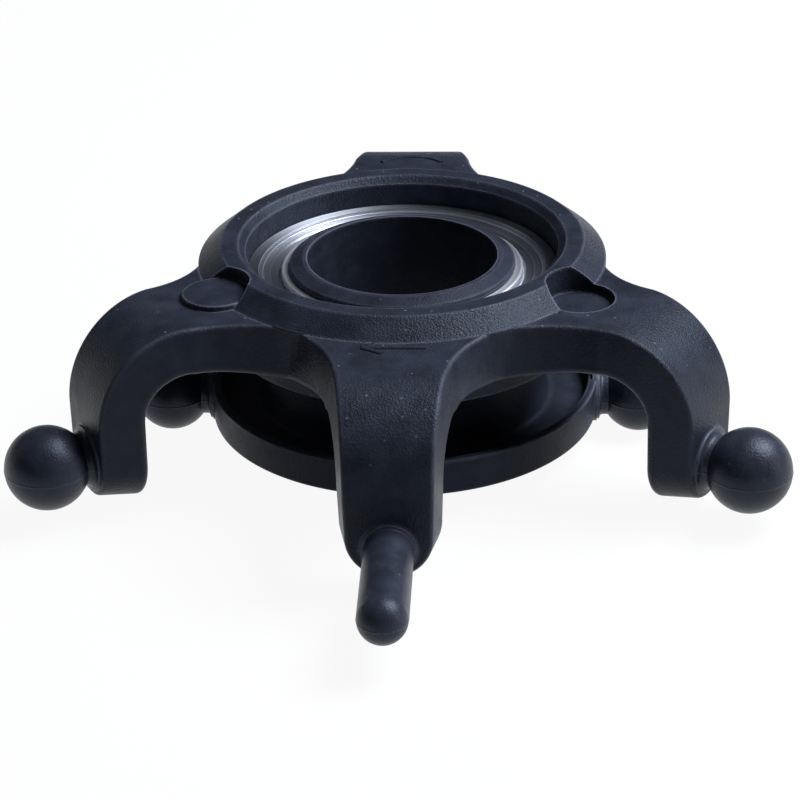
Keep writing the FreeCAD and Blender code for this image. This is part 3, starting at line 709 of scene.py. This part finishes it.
def build_spider(scene):
    """The whole outer spider as one moulding."""
    ring, arm, stud, marks = scene.swash_ring, scene.swash_arm, scene.swash_stud, scene.swash_marks
    skin = bpy.data.materials["spider_skin"]
    smooth = bpy.data.materials["stud_skin"]
    front = -math.pi / 2
    base = new_piece("ring", lathe(ring_profile(ring)), True, True, skin)
    parts = []
    near, far = arm.root_fillet, arm.back_fillet
    for name, half, rise, direction, fillets in (
            ("front", arm.front_half, arm.front_rise, front, (near, near)),
            ("right", arm.side_half, arm.foot_rise, front + arm.side_angle, (far, near)),
            ("left", arm.side_half, arm.foot_rise, front - arm.side_angle, (near, far)),
            ("back", arm.back_half, arm.foot_rise, -front, (near, near))):
        points = turned(arm_points(arm, ring, half, rise, fillets), direction)
        parts.append(new_piece(name + "_arm", points, wrap_columns=True, material=skin))
        make_stud = pin_stud if name == "front" else link_ball
        parts.append(make_stud(name + "_stud", arm, stud, direction, smooth))
    top = RIM_HEIGHT - ring.cone_drop
    left, right = (mark_place(arm, marks, sign) for sign in (-1, 1))
    parts.append(disc("left_pad", marks.ejector, top - ring.wall_depth / 2, top + marks.left_rise,
                      left, marks.pad_round, skin))
    above = RIM_HEIGHT + ring.cone_drop
    cutters = [disc("left_cut", marks.ejector, top + marks.left_rise, above, left, 0, skin),
               disc("right_cut", marks.ejector, top + marks.right_rise, above, right, 0, skin)]
    spider = combine("spider_moulding", base, parts, cutters)
    carried(spider, "spider", "spider_nylon", "outer_spider")


# ------------------------------------------------------------------ lower plate

def plate_profile(plate):
    """Half the lower plate's section: bore, underside, rim, dished floor, hub, shoulder, sleeve
    and lip. The third number of a corner is its radius in millimetres."""
    top = BEARING_TOP + plate.rise
    lip_foot = BEARING_TOP + plate.lip_gap
    rim_inner = plate.radius - plate.rim_width
    corners = (
        (plate.bore, plate.base, 0.3),
        (plate.radius, plate.base, 0.22),
        (plate.radius, plate.rim, 0.14),
        (rim_inner, plate.rim, 0.14),
        (rim_inner, plate.floor, 0.3),
        (plate.hub, plate.floor, 0.5),
        (plate.shoulder, SEAT_HEIGHT - plate.shoulder_depth, 0.1),
        (plate.shoulder, SEAT_HEIGHT, 0.08),
        (plate.sleeve, SEAT_HEIGHT, 0.02),
        (plate.sleeve, lip_foot, 0.02),
        (plate.lip, lip_foot, 0.03),
        (plate.lip, top - plate.lead_depth, 0.2),
        (plate.bore + plate.lead_width, top, 0.12),
        (plate.bore, top, 0.05),
    )
    return rounded([corner[:2] for corner in corners], [corner[2] * MM for corner in corners])


def build_plate(scene):
    """The lower plate with its sleeve and its two link balls as one moulding."""
    plate, stud = scene.swash_plate, scene.swash_stud
    skin = bpy.data.materials["plate_skin"]
    smooth = bpy.data.materials["stud_skin"]
    base = new_piece("plate", lathe(plate_profile(plate)), True, True, skin)
    profile = stud_profile(stud, plate.radius, plate.boss_length, plate.boss, plate.neck,
                           plate.reach, plate.ball)
    points = stud_points(profile, plate.radius, stud, plate.ball_height)
    studs = [new_piece(f"plate_stud_{name}", turned(points, direction), wrap_columns=True,
                       material=smooth) for name, direction in (("right", 0), ("left", math.pi))]
    moulding = combine("plate_moulding", base, studs)
    carried(moulding, "rotor", "plate_nylon", "lower_plate")


# ------------------------------------------------------------------ bearing

def ring_piece(name, corners, edge, material, body, slot, node_name, sweep=TURN):
    """A turned ring with evenly rounded edges in place of a CAD node."""
    profile = rounded(corners, edge)
    closed = sweep >= TURN
    points = lathe(profile, AROUND, sweep)
    if not closed:
        ends = [np.broadcast_to(points[:, side].mean(0), points[:, side].shape) for side in (0, -1)]
        points = np.concatenate([ends[0][:, None], points, ends[1][:, None]], 1)
    piece = new_piece(name, points, True, closed, material)
    return carried(piece, body, slot, node_name)


def build_races(bearing):
    """The two races: each is a turned ring with a step or a cut for the shields on both sides."""
    look = bpy.data.materials
    low, high = SEAT_HEIGHT, BEARING_TOP
    step, groove, shoulder = bearing.step, bearing.groove, bearing.outer_shoulder
    inset = bearing.inset
    seat = inset + bearing.wire
    deep = seat + bearing.sheet
    outer = ((BEARING_RADIUS, low), (BEARING_RADIUS, high), (step, high), (step, high - inset),
             (groove, high - inset), (groove, high - seat), (step, high - seat),
             (step, high - deep), (shoulder, high - deep), (shoulder, low + deep),
             (step, low + deep), (step, low + seat), (groove, low + seat),
             (groove, low + inset), (step, low + inset), (step, low))
    edges = [bearing.edge] * 2 + [bearing.groove_edge] * (len(outer) - 2)
    # The outer race takes the darker shield colour: painted shade from the recess wall above it.
    ring_piece("race_outer", outer, edges, look["turned_steel_painted_shade"], "spider", "bearing_steel",
               "bearing_outer_race")
    bore, land, body, cut = bearing.bore, bearing.land, bearing.body, bearing.cut
    inner = ((bore, low), (land, low), (land, low + cut), (body, low + cut), (body, high - cut),
             (land, high - cut), (land, high), (bore, high))
    ends = [bearing.edge, bearing.land_edge]
    edges = ends + [bearing.race_edge] * (len(inner) - 4) + ends[::-1]
    ring_piece("race_inner", inner, edges, look["ground_steel"], "rotor", "bearing_steel",
               "bearing_inner_race")


def build_shields(bearing):
    """The shields and the snap rings, each the same above and below. A shield's middle lies a
    fold deeper than its border."""
    look = bpy.data.materials
    for side, face, inwards in (("top", BEARING_TOP, -1), ("bottom", SEAT_HEIGHT, 1)):
        near = face + inwards * (bearing.inset + bearing.wire)
        far = near + inwards * bearing.sheet
        fold, lean = inwards * bearing.fold, bearing.fold_lean
        shield = ((bearing.hole, near + fold), (bearing.fold_inner, near + fold),
                  (bearing.fold_outer, near), (bearing.shield, near), (bearing.shield, far),
                  (bearing.fold_outer - lean, far), (bearing.fold_inner - lean, far + fold),
                  (bearing.hole, far + fold))
        ring_piece(f"shield_{side}", shield, bearing.shield_edge, look["pressed_steel"], "spider",
                   "shield_steel", f"bearing_shield_{side}")
        far, near = near, face + inwards * bearing.inset
        ring = ((bearing.spring_bore, near), (bearing.spring, near), (bearing.spring, far),
                (bearing.spring_bore, far))
        ring_piece(f"snap_ring_{side}", ring, bearing.spring_edge, look["drawn_wire"], "spider",
                   "spring_wire", f"shield_snap_ring_{side}", TURN - bearing.gap / bearing.step)


def build_bearing(scene):
    """The races, shields and snap rings as turned rings; the sealed cage and balls keep their
    CAD meshes."""
    build_races(scene.swash_bearing)
    build_shields(scene.swash_bearing)
    look = bpy.data.materials
    for name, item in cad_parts.items():
        if name.startswith("bearing_ball"):
            item.data.materials.clear()
            item.data.materials.append(look["polished_steel"])
    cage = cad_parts["bearing_cage"]
    cage.data.materials.clear()
    cage.data.materials.append(look["cage_skin"])


# ------------------------------------------------------------------ marks

def ridge(name, line, width, height, material):
    """A raised stroke along a flat line: across it the height is h times (1 - s^4) for s from -1
    to 1, and its foot goes a little into the face below."""
    along = unit(np.gradient(line, axis=0))
    across = np.stack([-along[:, 1], along[:, 0], 0 * along[:, 0]], -1)
    s = np.array([-1, -1, -0.85, -0.6, 0, 0.6, 0.85, 1, 1])
    lift = height * (1 - np.abs(s) ** 4)
    lift[[0, -1]] = -STROKE_ROOT
    points = line[:, None] + across[:, None] * (s * width / 2)[:, None]
    points = points + np.array([0, 0, 1.0]) * lift[:, None]
    caps = [np.broadcast_to(points[end].mean(0), points[:1].shape) for end in (0, -1)]
    points = np.concatenate([caps[0], points, caps[1]])
    return carried(new_piece(name, points, wrap_columns=True, material=material),
                   "spider", "spider_nylon")


def build_marks(scene):
    """Generic direction arrows: a straight one with two barbs on the front arm and part of an
    ellipse on the back arm."""
    marks = scene.swash_marks
    top = RIM_HEIGHT - scene.swash_ring.cone_drop
    skin = bpy.data.materials["mark_skin"]

    def straight(start, end, points):
        return np.linspace((*start, top), (*end, top), points)

    tip = (marks.tip, -marks.arrow)
    ridge("arrow_shaft", straight(tip, (marks.tail, -marks.arrow), 24), marks.stroke,
          marks.relief, skin)
    for side, reach, way in (("near", marks.near_barb, -1), ("far", marks.far_barb, 1)):
        end = (marks.tip + reach * BARB_SLOPE, -marks.arrow + way * reach)
        ridge(f"arrow_{side}_barb", straight(tip, end, 12), marks.stroke * BARB_WIDTH,
              marks.relief, skin)
    turn = np.linspace(marks.curve_end, math.pi - marks.curve_end, 40)
    arc = np.stack([marks.curve_half * np.cos(turn), marks.curve + marks.curve_rise * np.sin(turn),
                    np.full(40, top)], -1)
    ridge("arrow_curve", arc, marks.stroke, marks.relief, skin)


# ------------------------------------------------------------------ stage

def floor_material(colours):
    """A pale floor that camera, mirror and glass rays see nearly white, with the soft shadow."""
    material, tree, shader = new_material("stage_floor")
    shader["Base Color"].default_value = colours.floor
    shader["Roughness"].default_value = 0.9
    path = node(tree, "LightPath").outputs
    seen = maths(tree, "MAXIMUM", path["Is Camera Ray"],
                 maths(tree, "MAXIMUM", path["Is Glossy Ray"], path["Is Transmission Ray"]))
    glow = node(tree, "Emission", {"Color": (1, 1, 1, 1), "Strength": GLOW_STRENGTH})
    paper = next(item for item in tree.nodes if item.type == "BSDF_PRINCIPLED")
    mix = node(tree, "MixShader", {0: maths(tree, "MULTIPLY", seen, GLOW_SHARE)})
    tree.links.new(paper.outputs[0], mix.inputs[1])
    tree.links.new(glow.outputs[0], mix.inputs[2])
    out = next(item for item in tree.nodes if item.type == "OUTPUT_MATERIAL")
    tree.links.new(mix.outputs[0], out.inputs["Surface"])
    return material


def soft_box(name, place, width, height, power, colour):
    lamp = bpy.data.lights.new(name, "AREA")
    lamp.shape = "RECTANGLE"
    lamp.size, lamp.size_y = width, height
    lamp.energy = power
    lamp.color = colour
    item = bpy.data.objects.new(name, lamp)
    bpy.context.scene.collection.objects.link(item)
    item.location = place
    item.rotation_mode = "QUATERNION"
    item.rotation_quaternion = (LIT_POINT - item.location).to_track_quat("-Z", "Y")


def place_camera(stage):
    """The camera looks down at the elevation. The rim's centre lies at the given distance along
    its view, and off its axis by the given amounts."""
    data = bpy.data.cameras.new("camera")
    data.sensor_width = 36
    data.lens = stage.lens
    data.clip_start, data.clip_end = 0.01, 10
    camera = bpy.data.objects.new("camera", data)
    bpy.context.scene.collection.objects.link(camera)
    bpy.context.scene.camera = camera
    sin, cos = math.sin(stage.elevation), math.cos(stage.elevation)
    right, ahead, up = Vector((1, 0, 0)), Vector((0, cos, -sin)), Vector((0, sin, cos))
    place = -ahead * stage.distance + right * stage.aside - up * stage.below
    cos, sin = math.cos(stage.roll), math.sin(stage.roll)
    axes = Matrix((right * cos - up * sin, right * sin + up * cos, -ahead)).transposed()
    spin = Matrix.Rotation(stage.azimuth, 4, "Z")
    rim = Matrix.Translation((0, 0, RIM_HEIGHT))
    camera.matrix_world = rim @ spin @ Matrix.Translation(place) @ axes.to_4x4()


def build_stage(scene):
    """Floor, world, lights and camera."""
    stage = scene.swash_stage
    mesh = bpy.data.meshes.new("floor")
    turn = np.linspace(0, TURN, 96, endpoint=False)
    ground = CAD_BOX[0].z
    edge = np.stack([FLOOR_REACH * np.cos(turn), FLOOR_REACH * np.sin(turn),
                     np.full(96, ground)], -1)
    mesh.from_pydata(edge.tolist(), [], [list(range(96))])
    mesh.materials.append(floor_material(scene.swash_finishes))
    floor = bpy.data.objects.new("floor", mesh)
    bpy.context.scene.collection.objects.link(floor)
    world = bpy.data.worlds.new("studio")
    scene.world = world
    world.use_nodes = True
    background = next(item for item in world.node_tree.nodes if item.type == "BACKGROUND")
    background.inputs["Color"].default_value = WORLD_COLOUR
    background.inputs["Strength"].default_value = WORLD_STRENGTH
    for name, place, width, height, power, setting, colour in SOFT_BOXES:
        soft_box(name, place, width, height, power * getattr(stage, setting), colour)
    place_camera(stage)
    scene.view_settings.view_transform = "Standard"


# ------------------------------------------------------------------ add-on

class SWASH_OT_finishes(bpy.types.Operator):
    """Make the shader node groups and the materials"""
    bl_idname = "swash.finishes"
    bl_label = "Make finishes"

    def execute(self, context):
        colours = context.scene.swash_finishes
        for make_group in (spark_grain, edge_wear, settled_dust, turned_rings):
            make_group()
        nylon("spider_skin", colours, 0.15 * MM, 0.023 * MM, (0.32, 0.42), gloss=0.17, wear=0.6)
        nylon("plate_skin", colours, 0.15 * MM, 0.018 * MM, (0.36, 0.46), gloss=0.11, wear=0.5)
        nylon("stud_skin", colours, 0.14 * MM, 0.012 * MM, (0.32, 0.40), gloss=0.3, wear=0.3)
        nylon("mark_skin", colours, 0.15 * MM, 0.02 * MM, (0.5, 0.6), gloss=0.1, wear=0.0)
        ground, shield_tone_and_painted_shade = colours.steel, colours.shield
        steel("ground_steel", ground, 0.05 * MM, 0.003 * MM, (0.5, 0.58), brushed=0.3)
        # Painted shade: the outer race's steel takes the darker shield colour in place of the
        # recess wall's shadow.
        steel("turned_steel_painted_shade", shield_tone_and_painted_shade, 0.07 * MM, 0.004 * MM, (0.42, 0.5), brushed=0.8)
        steel("pressed_steel", shield_tone_and_painted_shade, 0.09 * MM, 0.004 * MM, (0.43, 0.49), brushed=0.76)
        steel("drawn_wire", ground, 0.04 * MM, 0.002 * MM, (0.3, 0.4), brushed=0.4)
        steel("polished_steel", ground, 0.02 * MM, 0.0002 * MM, (0.05, 0.09), brushed=0)
        cage, tree, shader = new_material("cage_skin")
        grain = use(tree, bpy.data.node_groups["Spark grain"], Cell=0.08 * MM)
        pale = [channel * 0.85 for channel in colours.cage[:3]] + [1]
        tree.links.new(blend(tree, grain["Patch"], pale, list(colours.cage)), shader["Base Color"])
        tree.links.new(between(tree, grain["Patch"], 0.4, 0.5), shader["Roughness"])
        return {"FINISHED"}


class SWASH_OT_spider(bpy.types.Operator):
    """Make the outer spider's moulding"""
    bl_idname = "swash.spider"
    bl_label = "Make outer spider"

    def execute(self, context):
        build_spider(context.scene)
        return {"FINISHED"}


class SWASH_OT_marks(bpy.types.Operator):
    """Make the direction arrows on the outer spider"""
    bl_idname = "swash.marks"
    bl_label = "Make arrow marks"

    def execute(self, context):
        build_marks(context.scene)
        return {"FINISHED"}


class SWASH_OT_plate(bpy.types.Operator):
    """Make the lower plate's moulding"""
    bl_idname = "swash.plate"
    bl_label = "Make lower plate"

    def execute(self, context):
        build_plate(context.scene)
        return {"FINISHED"}


class SWASH_OT_bearing(bpy.types.Operator):
    """Make the bearing's rings and finish its cage and balls"""
    bl_idname = "swash.bearing"
    bl_label = "Make bearing"

    def execute(self, context):
        build_bearing(context.scene)
        return {"FINISHED"}


class SWASH_OT_stage(bpy.types.Operator):
    """Make the floor, the lights and the camera"""
    bl_idname = "swash.stage"
    bl_label = "Make stage"

    def execute(self, context):
        build_stage(context.scene)
        return {"FINISHED"}


GROUPS = {
    "swash_ring": RingSizes,
    "swash_arm": ArmSizes,
    "swash_stud": StudSizes,
    "swash_plate": PlateSizes,
    "swash_bearing": BearingSizes,
    "swash_marks": MarkSizes,
    "swash_finishes": Finishes,
    "swash_stage": StageSettings,
}
STEPS = (SWASH_OT_finishes, SWASH_OT_spider, SWASH_OT_marks, SWASH_OT_plate, SWASH_OT_bearing,
         SWASH_OT_stage)


class SWASH_PT_panel(bpy.types.Panel):
    """Sizes, colours and steps of the swashplate"""
    bl_idname = "SWASH_PT_panel"
    bl_label = "Swashplate"
    bl_space_type = "VIEW_3D"
    bl_region_type = "UI"
    bl_category = "Swashplate"

    def draw(self, context):
        for step in STEPS:
            self.layout.operator(step.bl_idname)
        for name, group in GROUPS.items():
            box = self.layout.box()
            box.label(text=group.__doc__)
            for prop in group.__annotations__:
                box.prop(getattr(context.scene, name), prop)


def register():
    for name, group in GROUPS.items():
        bpy.utils.register_class(group)
        setattr(bpy.types.Scene, name, bpy.props.PointerProperty(type=group))
    for item in (*STEPS, SWASH_PT_panel):
        bpy.utils.register_class(item)


def unregister():
    for item in reversed((*STEPS, SWASH_PT_panel)):
        bpy.utils.unregister_class(item)
    for name, group in GROUPS.items():
        delattr(bpy.types.Scene, name)
        bpy.utils.unregister_class(group)


def main():
    register()
    for step in STEPS:
        family, name = step.bl_idname.split(".")
        getattr(getattr(bpy.ops, family), name)()


if __name__ == "__main__":
    main()
